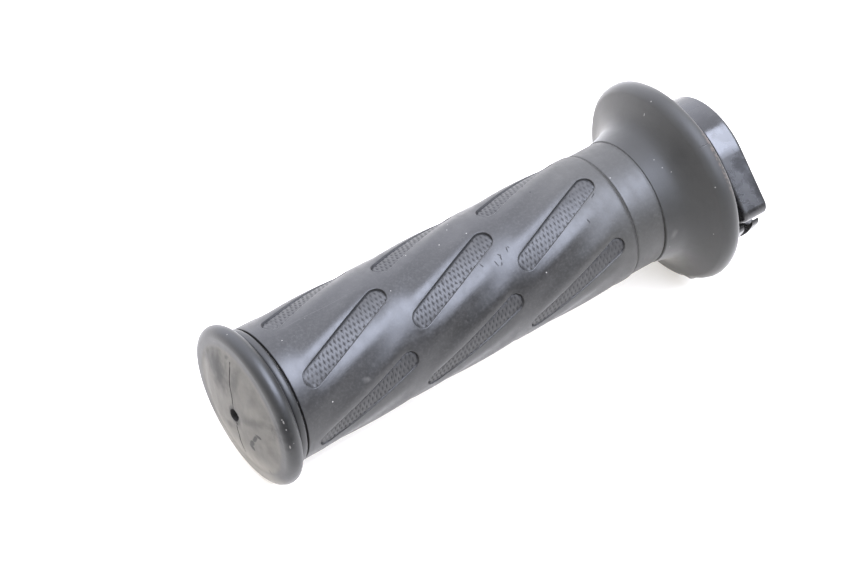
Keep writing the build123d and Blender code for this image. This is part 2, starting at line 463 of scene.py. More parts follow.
def sleeve():
    """The grip's rubber body."""
    points, faces, inside = [], [], set()
    tile_points, tile_faces, tile_inside = tile()
    for ring_x in RING_X:
        for k in range(SLOTS_PER_RING):
            base, first = len(points), len(faces)
            middle = FIRST_ANGLE + k * SIXTH
            for dx, dw, kind, amount in tile_points:
                x = ring_x + dx
                points.append(place(x, middle + dw / WRAP_R, tile_radius(x, dx, dw, kind, amount)))
            faces += [[base + i for i in f] for f in tile_faces]
            inside |= {first + i for i in tile_inside}
    start = FIRST_ANGLE - SIXTH / 2
    first_x, last_x = RING_X[0] - TILE_X, RING_X[-1] + TILE_X
    boundary = land_radius(first_x, TILE_X, 0.0)
    front = [(SLEEVE_START, boundary - deep) for deep in FRONT_FACE]
    front += arc((SLEEVE_START + FRONT_EDGE, boundary - FRONT_EDGE), FRONT_EDGE, FRONT_EDGE, 170, 90, 4)
    front += [(SLEEVE_START + x, boundary) for x in FRONT_FLAT] + [(first_x, boundary)]
    inner = [
        rib_ring(RIBS_FROM, True, ROUND_STEPS, start), rib_ring(RIBS_FROM, False, ROUND_STEPS, start),
        rib_ring(SLEEVE_START, False, ROUND_STEPS, start),
    ]
    strips(points, faces, inner + [round_ring(x, r, ROUND_STEPS, start) for x, r in front])
    back = [(last_x, land_radius(last_x, TILE_X, 0.0)), *SHOULDER, *BAND, *BAND_EDGE]
    back += [(SLEEVE_STOP + x, r) for x, r in BAND_END]
    outer = [seam_ring(x, r, ROUND_STEPS, start) for x, r in back]
    strips(points, faces, outer + [rib_ring(x, True, ROUND_STEPS, start) for x in (SLEEVE_STOP, RIBS_FROM)])
    return mesh_object("rubber_sleeve", points, faces, inside)


# End disc: the dome, as a distance from the axis and how far its face has dropped there, then as x and r
# the rounded rim, the groove and the bead behind it, and the back
DOME = ((0.0, 0.0), (4.0, 0.06), (8.1, 0.42), (11.5, 0.98), (14.0, 1.58), (15.6, 2.02), (16.8, 2.18))
DOME_BLUR = 0.9
DOME_EDGE_R = 15.6
RIM_INNER = ((-139.33, 16.9), (-139.29, 17.6))
RIM_CENTRE = (-137.08, 18.0)
RIM_HALF = (2.2, 2.3)
GROOVE = ((-134.87, 18.35), (-134.72, 17.85), (-134.58, 17.45), (-134.44, 17.18))
BEAD_CENTRE = (-133.45, 16.95)
BEAD_HALF = (0.92, 0.44)
CAP_BACK = (
    (-132.5, 16.8), (-132.47, 16.5), (-132.4, 16.3), (-132.2, 16.25),
    (CAP_STOP, 16.22), (CAP_STOP, 14.5), (CAP_STOP, TUBE_R),
)
FACE_R = 14.5
FACE_RINGS = 20
FACE_STEP = 0.75

# The crack and the ragged hole in the disc's face, as y and z
CRACK = (
    (1.5, 13.6), (1.25, 12.4), (1.16, 10.5), (0.82, 8.25), (0.1, 5.8), (-0.2, 3.8), (-0.25, 2.4),
    (-0.94, -2.8), (-0.73, -4.13), (-0.9, -6.44), (-0.75, -9.68), (-0.89, -12.5),
)
CRACK_HALF = 0.16
CRACK_DEPTH = 0.35
CRACK_STEP = 0.7
HOLE_MIDDLE = (-0.35, -0.3)
HOLE = (
    (1.25, 0.29), (0.6, 1.1), (-0.1, 1.7), (-1.0, 1.65), (-1.75, 1.3), (-2.35, 0.75), (-2.15, -0.1),
    (-1.85, -0.95), (-1.3, -1.65), (-0.6, -2.2), (0.25, -2.3), (0.95, -2.1), (1.35, -1.6), (1.5, -1.0),
    (1.45, -0.4),
)
HOLE_DEPTH = 2.2
HOLE_NARROWS = 0.8
HOLE_LEANS = -0.1

# How far the face's other points keep from the crack and the hole's edge, and from the hole's middle
KEEP_OFF = 0.45
HOLE_REACH = 2.3


def dome_drop(r):
    """How far the disc's face lies behind its middle at a distance from the axis."""
    for (r0, d0), (r1, d1) in zip(DOME, DOME[1:]):
        if r <= r1:
            return d0 + (d1 - d0) * (r - r0) / (r1 - r0)
    return DOME[-1][1]


def dome_smooth(r):
    """The same without corners, and within 0.01 mm of 0 at the middle."""
    near = [dome_drop(abs(r + DOME_BLUR * k)) for k in (-1, -0.5, 0, 0.5, 1)]
    return sum(near) / 5 - dome_drop(DOME_BLUR) / 3


def offset_line(line, side):
    """A line of points moved sideways, less so towards its ends."""
    out = []
    for i, p in enumerate(line):
        run = Vector(line[min(i + 1, len(line) - 1)]) - Vector(line[max(i - 1, 0)])
        across = Vector((-run.y, run.x)).normalized()
        fade = min(1.0, 0.35 + 0.4 * min(i, len(line) - 1 - i))
        out.append(Vector(p) + across * side * fade)
    return out


def cap_face():
    """The middle of the disc's face: points as (y, z, drop), faces, and the numbers of the points round the
    hole and at the crack's bottom."""
    outer = [
        Vector((-FACE_R * math.sin(FULL * i / CAP_STEPS), FACE_R * math.cos(FULL * i / CAP_STEPS)))
        for i in range(CAP_STEPS)
    ]
    hole = [Vector(p) for p in HOLE]
    n_outer, n_hole = len(outer), len(hole)
    points = outer + hole
    edges = [(n_outer + i, n_outer + (i + 1) % n_hole) for i in range(n_hole)]
    crack, bottom = [], set()
    for part in ([p for p in CRACK if p[1] > 0], [p for p in CRACK if p[1] < 0]):
        middle_line = curve(part, CRACK_STEP)
        for side in (-CRACK_HALF, 0.0, CRACK_HALF):
            start = len(points)
            points += offset_line(middle_line, side)
            edges += [(i, i + 1) for i in range(start, len(points) - 1)]
            if side == 0.0:
                bottom |= set(range(start, len(points)))
        crack += [Vector(p) for p in middle_line]
    for ring in range(1, FACE_RINGS):
        r = FACE_R * ring / FACE_RINGS
        count = max(8, round(FULL * r / FACE_STEP))
        for i in range(count):
            a = FULL * (i + 0.5 * (ring % 2)) / count
            p = Vector((r * math.cos(a), r * math.sin(a)))
            far = min((p - q).length for q in crack + hole) >= KEEP_OFF
            if far and (p - Vector(HOLE_MIDDLE)).length >= HOLE_REACH:
                points.append(p)
    rings = [list(range(n_outer)), list(range(n_outer, n_outer + n_hole))]
    verts, _, faces, sources, _, origins = delaunay_2d_cdt(points, edges, rings, 0, WELD)
    keep = [f for f, origin in zip(faces, origins) if origin == [0]]
    deep = {number for number, group in enumerate(sources) if bottom & set(group)}
    out = [
        (p.x, p.y, dome_smooth(p.length) + (CRACK_DEPTH if number in deep else 0.0))
        for number, p in enumerate(verts)
    ]
    where = {s: i for i, group in enumerate(sources) for s in group}
    return out, keep, [where[i] for i in rings[1]], deep


def end_cap():
    """The domed rubber disc that closes the grip's outer end."""
    flat, faces, hole_rim, deep = cap_face()
    inside = {n for n, f in enumerate(faces) if deep & set(f)}
    points, faces, number = used_only(flat, faces)
    points = [Vector(((CAP_START + drop) * MM, y * MM, z * MM)) for y, z, drop in points]
    top = [number[i] for i in hole_rim]
    bottom = list(range(len(points), len(points) + len(top)))
    for i in top:
        x, y, z = points[i]
        lower = (x + HOLE_DEPTH * MM, y * HOLE_NARROWS + HOLE_LEANS * MM, z * HOLE_NARROWS)
        points.append(Vector(lower))
    for i in range(len(top)):
        j = (i + 1) % len(top)
        inside.add(len(faces))
        faces.append([top[i], top[j], bottom[j], bottom[i]])
    inside.add(len(faces))
    faces.append(bottom[::-1])
    dome_edge = tuple((CAP_START + dome_smooth(r), r) for r in (FACE_R, DOME_EDGE_R))
    profile = curve(dome_edge + RIM_INNER, step=0.4)
    profile += arc(RIM_CENTRE, *RIM_HALF, 174, 20, 30)
    profile += curve(GROOVE, step=0.2)
    profile += arc(BEAD_CENTRE, *BEAD_HALF, 158, 8, 16)
    profile += [*CAP_BACK, (TUBE_START, TUBE_R)]
    strips(points, faces, [round_ring(x, r, CAP_STEPS) for x, r in profile])
    last = len(points) - CAP_STEPS
    faces.append([last + i for i in range(CAP_STEPS)])
    return mesh_object("end_disc", points, faces, inside)


# Hand flange: its narrow front face, a bell with a round lip, and a flat back whose places are counted
# from BELL_STOP
BELL_FRONT_R = (15.6, 15.9, 16.2)
BELL_EDGE = 0.3
BELL = (
    (-26.72, 16.5), (-25.2, 16.85), (-23.5, 17.3), (-22.0, 17.8),
    (-20.8, 18.5), (-19.5, 19.75), (-18.2, 21.9),
)
LIP_HALF = 3.2
LIP = (BELL_STOP - 1.8, BELL_R - LIP_HALF)
LIP_FROM = 150
LIP_TO = 62
LIP_CHAMFER = ((-0.17, 26.34), (-0.06, 26.22))
BACK = ((0.0, 25.95), (0.0, 25.3), (-0.05, 23.5), (-0.12, 21.0), (-0.2, 18.5), (-0.2, 15.5))

# A ridge and a nick in the lip's lower edge: angles and half widths in degrees, and depths, which are
# below 0 where the lip stands out
NICKS = ((150.0, 2.2, -0.4), (155.0, 2.6, 0.4))

# The lip leans towards the hand at its top and is worn lower at its bottom
LEAN_TOP = math.radians(-10)
LEAN_REACH = math.radians(80)
LEAN_X = -0.8
TOP_GROWS = 0.15
BOTTOM_FROM = math.radians(110)
BOTTOM_REACH = math.radians(40)
BOTTOM_SHRINKS = 0.35

# Where these reach the bell and where the unevenness reaches the lip: a radius, and over what width
BELL_FADE = (17.5, 6.0)
LIP_FADE = (25.0, 1.2)

# The lip's slight unevenness: heights, waves round it and turns, and how much it all sinks
UNEVEN = ((0.05, 5, 0.7), (0.04, 11, 2.0))
UNEVEN_SINKS = 0.05


def bell_point(x, angle, r):
    """A point of the bell, with the lip's lean, its nick and its slight unevenness."""
    signed = math.atan2(math.sin(angle), math.cos(angle))
    top = 1 - smooth(abs(signed - LEAN_TOP) / LEAN_REACH)
    bottom = smooth((abs(signed) - BOTTOM_FROM) / BOTTOM_REACH)
    on_bell = smooth((r - BELL_FADE[0]) / BELL_FADE[1])
    on_lip = smooth((r - LIP_FADE[0]) / LIP_FADE[1])
    uneven = sum(high * math.sin(waves * angle + turn) for high, waves, turn in UNEVEN) - UNEVEN_SINKS
    nick = sum(deep * (1 - smooth(abs(math.degrees(signed) - at) / half)) for at, half, deep in NICKS)
    r += on_bell * (TOP_GROWS * top - BOTTOM_SHRINKS * bottom) + on_lip * (uneven - nick)
    return place(x + LEAN_X * top * on_bell, angle, r)


def hand_flange():
    """The rubber bell between the hand and the drum."""
    lip = arc(LIP, LIP_HALF, LIP_HALF, LIP_FROM, LIP_TO, 20)
    profile = [(BELL_START, r) for r in BELL_FRONT_R]
    profile += arc((BELL_START + BELL_EDGE, BELL_FRONT_R[-1]), BELL_EDGE, BELL_EDGE, 160, 105, 4)
    profile += curve([*BELL, lip[0]], step=0.55)[:-1] + lip
    profile += [(BELL_STOP + x, r) for x, r in LIP_CHAMFER]
    profile += curve([(BELL_STOP + x, r) for x, r in BACK], step=0.7)
    inner_x = BELL_STOP + BACK[-1][0]
    inner = [rib_ring(x, False, BELL_STEPS, 0.0) for x in (inner_x, RIBS_TO)]
    inner += [rib_ring(x, True, BELL_STEPS, 0.0) for x in (RIBS_TO, BELL_START)]
    outer = [[bell_point(x, FULL * i / BELL_STEPS, r) for i in range(BELL_STEPS)] for x, r in profile]
    points, faces = [], []
    strips(points, faces, inner[-1:] + outer + inner)
    return mesh_object("rubber_bell", points, faces)


# ---------------------------------------------------------------- materials


class Graph:
    """A material's nodes, with short calls to add them. Lengths in it are in millimetres."""

    def __init__(self, name):
        self.material = bpy.data.materials.new(name)
        self.material.use_nodes = True
        self.tree = self.material.node_tree
        self.tree.nodes.clear()
        out = self.tree.nodes.new("ShaderNodeOutputMaterial")
        self.shader = self.tree.nodes.new("ShaderNodeBsdfPrincipled")
        self.tree.links.new(self.shader.outputs[0], out.inputs["Surface"])
        metres = self.put("TexCoord", {}).outputs["Object"]
        self.at = self.put("VectorMath", {0: metres, "Scale": 1 / MM}, operation="SCALE").outputs[0]
        split = self.put("SeparateXYZ", {0: self.at}).outputs
        self.x, self.y, self.z = split[0], split[1], split[2]

    def put(self, kind, inputs, **settings):
        """Adds a node, with its inputs given by name or number and its settings by name."""
        node = self.tree.nodes.new("ShaderNode" + kind)
        for key, value in settings.items():
            setattr(node, key, value)
        for key, value in inputs.items():
            self.feed(node.inputs[key], value)
        return node

    def feed(self, socket, value):
        """Links an output to a socket, or sets the socket to a constant."""
        if isinstance(value, bpy.types.NodeSocket):
            self.tree.links.new(value, socket)
        elif isinstance(value, tuple) and socket.type == "RGBA" and len(value) == 3:
            socket.default_value = (*value, 1.0)
        else:
            socket.default_value = value

    def math(self, operation, a, b=0.0, clamp=False):
        """One sum on one or two numbers."""
        return self.put("Math", {0: a, 1: b}, operation=operation, use_clamp=clamp).outputs[0]

    def spread(self, value, low, high, to_low=0.0, to_high=1.0, kind="SMOOTHSTEP"):
        """Maps low to high onto to_low to to_high, and stays at their ends beyond."""
        inputs = {0: value, 1: low, 2: high, 3: to_low, 4: to_high}
        return self.put("MapRange", inputs, interpolation_type=kind).outputs[0]

    def noise(self, size, detail=3.0, rough=0.55, stretch=(1.0, 1.0, 1.0), distort=0.0, shift=0.0):
        """Cloudy values about 0.5, whose clouds are about a size across."""
        at = self.put("Mapping", {0: self.at, 1: (shift, shift, shift), 3: stretch}).outputs[0]
        inputs = {"Vector": at, "Scale": 1 / size, "Detail": detail}
        inputs |= {"Roughness": rough, "Distortion": distort}
        return self.put("TexNoise", inputs).outputs["Fac"]

    def grains(self, size, low, high, seed):
        """Round grains scattered over the surface, 1 in their middles, and a value of each grain's own."""
        at = self.put("Mapping", {0: self.at, 1: (seed, seed * 0.7, seed * 1.3)}).outputs[0]
        node = self.put("TexVoronoi", {"Vector": at, "Scale": 1 / size, "Randomness": 1.0})
        picked = self.put("SeparateColor", {0: node.outputs["Color"]}).outputs[0]
        dot = self.spread(node.outputs["Distance"], low, high, 1.0, 0.0)
        return dot, picked

    def mix(self, share, a, b):
        """A colour between a and b."""
        node = self.put("Mix", {0: share}, data_type="RGBA")
        self.feed(node.inputs[6], a)
        self.feed(node.inputs[7], b)
        return node.outputs[2]

    def angle(self):
        """The angle round the axis, in radians."""
        back = self.math("MULTIPLY", self.y, -1.0)
        return self.math("ARCTAN2", back, self.z)

    def radius(self):
        """The distance from the axis."""
        return self.length(self.y, self.z)

    def length(self, a, b):
        """The length of the flat vector a, b."""
        return self.math("SQRT", self.math("ADD", self.math("POWER", a, 2.0), self.math("POWER", b, 2.0)))

    def spot(self, u, v, centre, half, turn=0.0, soft=0.5, ragged=None):
        """1 in an ellipse on the plane of u and v, fading over its outer part."""
        a, b = self.math("SUBTRACT", u, centre[0]), self.math("SUBTRACT", v, centre[1])
        c, s = math.cos(math.radians(turn)), math.sin(math.radians(turn))

        def part(p, q):
            return self.math("ADD", self.math("MULTIPLY", a, p), self.math("MULTIPLY", b, q))

        far = self.length(part(c / half[0], s / half[0]), part(-s / half[1], c / half[1]))
        if ragged is not None:
            far = self.math("ADD", far, ragged)
        return self.spread(far, 1.0 - soft, 1.0, 1.0, 0.0)

    def most(self, masks):
        """The greatest of several masks."""
        total = masks[0]
        for m in masks[1:]:
            total = self.math("MAXIMUM", total, m)
        return total

    def bump(self, height, distance, strength=1.0, normal=None):
        """A normal tilted by a height map, on top of another normal."""
        inputs = {"Height": height, "Distance": distance * MM, "Strength": strength}
        if normal is not None:
            inputs["Normal"] = normal
        return self.put("Bump", inputs).outputs[0]

    def finish(self, **inputs):
        """Feeds the shader's sockets and gives the material."""
        for name, value in inputs.items():
            self.feed(self.shader.inputs[name.replace("_", " ")], value)
        return self.material


def ragged(g, size, amount, shift=0.0):
    """A noise that roughens a mark's outline."""
    return g.math("MULTIPLY", g.math("SUBTRACT", g.noise(size, 2.0, shift=shift), 0.5), amount)


def dust(g, share, seed):
    """Tiny pale specks, of which a share is kept."""
    dot, picked = g.grains(1.6, 0.05, 0.11, seed)
    return g.math("MULTIPLY", dot, g.spread(picked, 1 - share, 1 - share + 0.01))


# Colours
RUBBER = (0.0075, 0.0072, 0.0068)
RUBBER_WORN = (0.013, 0.0125, 0.012)
RUBBER_DULL = (0.022, 0.021, 0.018)
DUST = (0.32, 0.305, 0.28)
DARK = (0.006, 0.006, 0.006)
BROWN = (0.088, 0.064, 0.052)
KNURL_PIT = (0.006, 0.0058, 0.0056)
KNURL_DUSTY = (0.026, 0.025, 0.024)
CAP_BLACK = (0.009, 0.0088, 0.0080)
CAP_GREY = (0.124, 0.117, 0.102)
# Painted reflection of the bright floor on the end disc's lower part
CAP_PAINTED_REFLECTION = (0.26, 0.245, 0.215)
STAIN = (0.016, 0.0155, 0.014)
GRIT = (0.20, 0.18, 0.155)
BELL_DARK = (0.012, 0.0115, 0.0098)
BELL_LIGHT = (0.018, 0.0172, 0.0148)
HOLE_DIRT = ((0.004, 0.004, 0.004), (0.02, 0.018, 0.016))
DRUM_BLACKS = ((0.008, 0.008, 0.0085), (0.017, 0.0165, 0.0155))
TUBE_BLACKS = ((0.016, 0.016, 0.017), (0.040, 0.038, 0.036))

# Marks on the sleeve: places on x and their angles in degrees, then half sizes and, for the cuts, turns
SLEEVE_SPECKS = ((-62.3, 60.6, 0.2), (-81.4, -4.7, 0.18), (-74.3, -1.0, 0.18), (-124.2, 70.0, 0.2))
SLEEVE_CUTS = (
    (-68.8, 28.8, 1.0, 100.0), (-68.2, 27.6, 0.6, 60.0), (-71.2, 31.9, 1.1, 110.0), (-71.3, 29.8, 0.7, 45.0),
    (-73.0, 34.9, 1.1, 80.0), (-71.8, 37.0, 0.8, 120.0), (-76.5, 30.6, 0.9, 70.0), (-46.6, 40.0, 1.0, 80.0),
    (-41.9, 23.0, 1.3, 150.0),
)


def sleeve_rubber():
    """Satin black rubber, handled: patches of shine, a few cuts, specks, a smudge and one long scratch."""
    g = Graph("sleeve_rubber_worn")
    w = g.math("MULTIPLY", g.angle(), WRAP_R)
    patches = g.noise(14.0, 3.0, stretch=(0.5, 1.0, 1.0))
    smears = g.noise(3.2, 4.0, 0.6, stretch=(1.6, 1.0, 1.0), shift=5.0)
    fine = g.noise(0.26, 3.0, 0.65)
    wobble = g.noise(4.5, 2.0, shift=9.0)
    specks = [g.spot(g.x, w, (x, math.radians(a) * WRAP_R), (r, r), soft=0.6) for x, a, r in SLEEVE_SPECKS]
    specks.append(dust(g, 0.035, 3.0))
    marks = g.most(specks)
    cuts = []
    for x, a, half, turn in SLEEVE_CUTS:
        at = (x, math.radians(a) * WRAP_R)
        cuts.append(g.spot(g.x, w, at, (half * 0.8, 0.14), turn, 0.6, ragged(g, 0.7, 0.9)))
    cuts.append(g.spot(g.x, w, (-53.7, math.radians(-9) * WRAP_R), (0.3, 0.25), soft=0.5))
    cut = g.most(cuts)
    scratch = g.spot(g.x, w, (-117.3, math.radians(-3.5) * WRAP_R), (14.5, 0.09), 0.6, 0.5)
    scratch = g.math("MULTIPLY", scratch, 0.15)
    smudge = g.spot(g.x, w, (-114.6, math.radians(67) * WRAP_R), (1.5, 1.0), 35.0, 0.9, ragged(g, 1.2, 0.8))
    smudge = g.math("MULTIPLY", smudge, 0.3)
    dull = g.spread(g.x, -64.0, -38.0)
    dirt = g.spot(g.x, w, (-34.0, math.radians(101) * WRAP_R), (0.9, 0.5), 70.0, 0.7, ragged(g, 0.8, 0.9))
    colour = g.mix(g.spread(patches, 0.35, 0.7), RUBBER, RUBBER_WORN)
    colour = g.mix(dull, colour, RUBBER_DULL)
    colour = g.mix(g.math("MULTIPLY", g.math("ADD", smudge, scratch, clamp=True), 0.35), colour, DUST)
    colour = g.mix(marks, colour, DUST)
    grain = g.noise(0.7, 4.0, 0.7, shift=12.0)
    colour = g.mix(g.math("MULTIPLY", g.spread(grain, 0.4, 0.8), 0.05), colour, DUST)
    colour = g.mix(g.math("MULTIPLY", g.math("MAXIMUM", cut, dirt), 0.8), colour, DARK)
    rough = g.spread(patches, 0.25, 0.75, 0.345, 0.425)
    rough = g.math("ADD", rough, g.spread(smears, 0.3, 0.75, -0.03, 0.06))
    rough = g.math("ADD", rough, g.math("MULTIPLY", dull, 0.10))
    rough = g.math("ADD", rough, g.spread(grain, 0.3, 0.7, -0.03, 0.04))
    rough = g.math("ADD", rough, g.math("MULTIPLY", g.math("MAXIMUM", marks, cut), 0.3), clamp=True)
    normal = g.bump(wobble, 0.05, 0.6)
    normal = g.bump(fine, 0.017, 0.85, normal)
    height = g.math("SUBTRACT", 1.0, g.math("ADD", cut, g.math("MULTIPLY", scratch, 0.4)))
    normal = g.bump(height, 0.10, 0.9, normal)
    return g.finish(Base_Color=colour, Roughness=rough, Normal=normal, IOR=1.5)


def knurl_rubber():
    """The slots' walls and floors: rubber that is never polished, with dusty ridges and dark pits."""
    g = Graph("knurl_rubber_dusty")
    top = g.math("ADD", g.math("MULTIPLY", g.x, -LAND_TAPER), LAND_R + LAND_TAPER * SLEEVE_START - NET_BELOW)
    low = g.math("SUBTRACT", top, g.radius())
    high = g.spread(low, 0.02, 0.22, 1.0, 0.0)
    dusty = g.noise(1.4, 3.0, shift=2.0)
    colour = g.mix(g.math("MULTIPLY", high, g.spread(dusty, 0.2, 0.7, 0.2, 1.0)), KNURL_PIT, KNURL_DUSTY)
    rough = g.spread(high, 0.0, 1.0, 0.75, 0.5)
    normal = g.bump(g.noise(0.28, 3.0), 0.02, 0.8)
    return g.finish(Base_Color=colour, Roughness=rough, Normal=normal, IOR=1.5)


# Stains on the end disc: places on y and z, half sizes, turns, softness and share of darkness
CAP_STAINS = (
    (-9.45, -0.4, (1.3, 0.6), 0.0, 0.5, 0.95),
    (-8.0, -2.1, (2.4, 0.7), -62.0, 0.5, 0.95),
    (-6.4, -4.8, (1.9, 0.85), -56.0, 0.5, 0.95),
    (-6.1, -6.5, (1.4, 1.0), 48.0, 0.5, 1.0),
    (-0.35, -0.3, (2.9, 3.4), 0.0, 0.45, 0.7),
    (-10.6, -12.3, (1.2, 0.5), 20.0, 0.8, 0.45),
    (13.3, 7.2, (1.3, 0.9), 40.0, 0.8, 0.5),
    (3.3, 14.6, (1.4, 0.8), -35.0, 0.8, 0.55),
)

# Wide soft stains, which need no softness of their own
CAP_CLOUDS = (
    (-8.2, 3.2, (8.6, 1.9), -29.0, 0.42),
    (2.6, -5.9, (7.4, 1.7), -31.0, 0.42),
    (6.8, 8.8, (8.0, 7.6), 30.0, 0.84),
    (11.5, 9.0, (5.0, 3.4), -50.0, 0.6),
    (-1.0, 10.5, (2.4, 5.5), 8.0, 0.55),
    (-13.0, -3.0, (2.4, 5.0), -20.0, 0.22),
)

# Pale chips on the disc's rim: angles in degrees, places on x, and half lengths round the rim
CAP_CHIPS = (
    (61.0, -138.3, 0.55), (66.5, -138.3, 0.3), (80.0, -138.5, 0.6), (59.0, -138.4, 0.25),
    (-13.7, -137.8, 0.2),
)


def cap_rubber():
    """Scuffed rubber: the disc's face is dull and grey, with stains, chips on its rim and grit in the gap.
    Its lower side is painted paler, a painted reflection of the bright floor.
    """
    g = Graph("cap_rubber_scuffed")
    around = g.math("MULTIPLY", g.angle(), CAP_R)
    within = g.spread(g.radius(), 15.7, 17.3, 1.0, 0.0)
    disc = g.math("MULTIPLY", within, g.spread(g.x, -138.6, -137.8, 1.0, 0.0))
    # Painted reflection: the lower side of the rim and disc is painted paler, standing in for light from the
    # bright floor. front joins it to the face's real wear, so front and worn carry both.
    below = g.spread(g.z, -9.0, -16.0, 0.0, 0.75)
    painted_reflection_low_side = g.math("MULTIPLY", below, g.spread(g.x, -137.5, -135.5, 1.0, 0.3))
    front = g.math("MAXIMUM", disc, painted_reflection_low_side)
    patches = g.noise(5.5, 4.0, 0.6, stretch=(0.6, 1.0, 1.0))
    fine = g.noise(0.5, 3.0, 0.6)
    rub = g.noise(2.0, 3.0, 0.6, stretch=(1.0, 1.0, 0.35), shift=4.0)
    worn = g.math("MULTIPLY", front, g.spread(patches, 0.2, 0.75, 0.55, 1.0))
    colour = g.mix(worn, CAP_BLACK, CAP_GREY)
    # Painted reflection of the floor: the disc's lower part is painted paler still towards the bottom.
    painted_floor_reflection = g.math("MULTIPLY", g.spread(g.z, -6.0, -16.0), front)
    colour = g.mix(g.math("MULTIPLY", painted_floor_reflection, 0.6), colour, CAP_PAINTED_REFLECTION)
    edge = ragged(g, 0.9, 0.55)
    marks = [
        g.math("MULTIPLY", g.spot(g.y, g.z, (y, z), half, turn, soft, edge), share)
        for y, z, half, turn, soft, share in CAP_STAINS
    ]
    clouds = [
        g.math("MULTIPLY", g.spot(g.y, g.z, (y, z), half, turn, 0.9, ragged(g, 2.2, 0.8)), share)
        for y, z, half, turn, share in CAP_CLOUDS
    ]
    dark = g.most(marks + clouds)
    colour = g.mix(g.math("MULTIPLY", dark, disc), colour, STAIN)
    bruised = (math.radians(70) * CAP_R, -138.4)
    bruise = g.spot(around, g.x, bruised, (7.0, 1.7), 0.0, 0.9, ragged(g, 1.5, 0.8))
    colour = g.mix(g.math("MULTIPLY", bruise, 0.9), colour, DARK)
    chips = [
        g.spot(around, g.x, (math.radians(a) * CAP_R, x), (half, 0.16), 0.0, 0.5, ragged(g, 0.5, 0.8))
        for a, x, half in CAP_CHIPS
    ]
    fleck = g.math("MULTIPLY", dust(g, 0.04, 8.0), 0.7)
    colour = g.mix(g.math("MULTIPLY", g.most(chips + [fleck]), 0.4), colour, DUST)
    grit, _ = g.grains(0.32, 0.2, 0.5, 2.0)
    in_gap = g.spread(g.x, -132.56, -132.44)
    clumps = g.spread(g.noise(2.5, 3.0, shift=7.0), 0.42, 0.56)
    gritty = g.math("MULTIPLY", g.math("MULTIPLY", in_gap, clumps), grit)
    colour = g.mix(gritty, colour, GRIT)
    rough = g.spread(patches, 0.25, 0.75, 0.42, 0.50)
    rough = g.math("ADD", rough, g.math("MULTIPLY", front, g.spread(rub, 0.2, 0.8, 0.02, 0.14)), clamp=True)
    normal = g.bump(g.noise(3.5, 2.0, shift=1.0), 0.06, 0.5)
    normal = g.bump(fine, 0.02, 0.8, normal)
    normal = g.bump(gritty, 0.25, 0.9, normal)
    shine = g.math("MULTIPLY", g.math("SUBTRACT", 1.0, g.math("MAXIMUM", disc, bruise)), 0.42)
    return g.finish(
        Base_Color=colour, Roughness=rough, Normal=normal, IOR=1.33,
        Coat_Weight=shine, Coat_Roughness=0.4, Coat_Normal=normal,
    )


def hole_dark():
    """Packed dirt in the disc's hole."""
    g = Graph("hole_dirt")
    clump = g.noise(0.5, 3.0)
    colour = g.mix(clump, *HOLE_DIRT)
    rough = g.spread(clump, 0.2, 0.8, 0.7, 0.95)
    return g.finish(Base_Color=colour, Roughness=rough, Normal=g.bump(clump, 0.2, 0.7))


# Pale specks on the bell: places on x and their angles in degrees
BELL_SPECKS = ((-16.6, 56.6), (-17.3, -4.3), (-18.8, -6.8), (-23.1, 21.7), (-21.4, 37.1))


def bell_rubber():
    """Dull neutral rubber, with brown dirt along the lip, a short cut across it, a pale rub and specks."""
    g = Graph("bell_rubber_dull")
    around = g.math("MULTIPLY", g.angle(), BELL_R)
    patches = g.noise(9.0, 3.0, stretch=(0.7, 1.0, 1.0))
    fine = g.noise(0.4, 3.0, 0.6)
    colour = g.mix(g.spread(patches, 0.3, 0.75), BELL_DARK, BELL_LIGHT)
    on_lip = (-13.1, math.radians(42) * BELL_R)
    lip_dirt = g.spot(g.x, around, on_lip, (0.9, 12.5), 0.0, 0.5, ragged(g, 0.9, 0.8))
    lip_dirt = g.math("MULTIPLY", lip_dirt, g.spread(g.radius(), 25.4, 25.9))
    on_neck = (-25.0, math.radians(88) * BELL_R)
    rub = g.spot(g.x, around, on_neck, (1.2, 3.4), 12.0, 0.9, ragged(g, 1.6, 0.9))
    colour = g.mix(g.math("MULTIPLY", rub, 0.10), colour, DUST)
    broken = g.spread(g.noise(0.8, 4.0, 0.7, shift=3.0), 0.46, 0.6)
    colour = g.mix(g.math("MULTIPLY", lip_dirt, g.math("MULTIPLY", broken, 0.7)), colour, BROWN)
    across_lip = (-15.0, math.radians(34.3) * BELL_R)
    cut = g.spot(g.x, around, across_lip, (1.6, 0.15), 0.0, 0.5, ragged(g, 0.8, 0.3))
    colour = g.mix(cut, colour, DARK)
    flecks = [g.spot(g.x, around, (x, math.radians(a) * BELL_R), (0.15, 0.18)) for x, a in BELL_SPECKS]
    flecks = g.math("MULTIPLY", g.most(flecks + [dust(g, 0.04, 5.0)]), 0.6)
    colour = g.mix(flecks, colour, DUST)
    rough = g.spread(patches, 0.25, 0.75, 0.54, 0.62)
    normal = g.bump(g.noise(5.0, 2.0, shift=6.0), 0.08, 0.5)
    normal = g.bump(fine, 0.02, 0.8, normal)
    normal = g.bump(g.math("SUBTRACT", 1.0, cut), 0.2, 1.0, normal)
    return g.finish(
        Base_Color=colour, Roughness=rough, Normal=normal, IOR=1.45,
        Sheen_Weight=0.42, Sheen_Roughness=0.4, Sheen_Tint=(1.0, 0.97, 0.90, 1.0),
    )


def drum_plastic():
    """Moulded black plastic, greasy, with shine that comes and goes."""
    g = Graph("drum_plastic_greasy")
    grease = g.noise(3.6, 2.0, 0.45, distort=0.2)
    fine = g.noise(0.6, 3.0)
    film = g.spread(grease, 0.25, 0.75)
    colour = g.mix(film, *DRUM_BLACKS)
    rough = g.spread(film, 0.0, 1.0, 0.17, 0.33)
    normal = g.bump(grease, 0.06, 0.6)
    normal = g.bump(fine, 0.012, 0.8, normal)
    return g.finish(
        Base_Color=colour, Roughness=rough, Normal=normal, IOR=1.5, Coat_Weight=0.14, Coat_Roughness=0.2,
    )


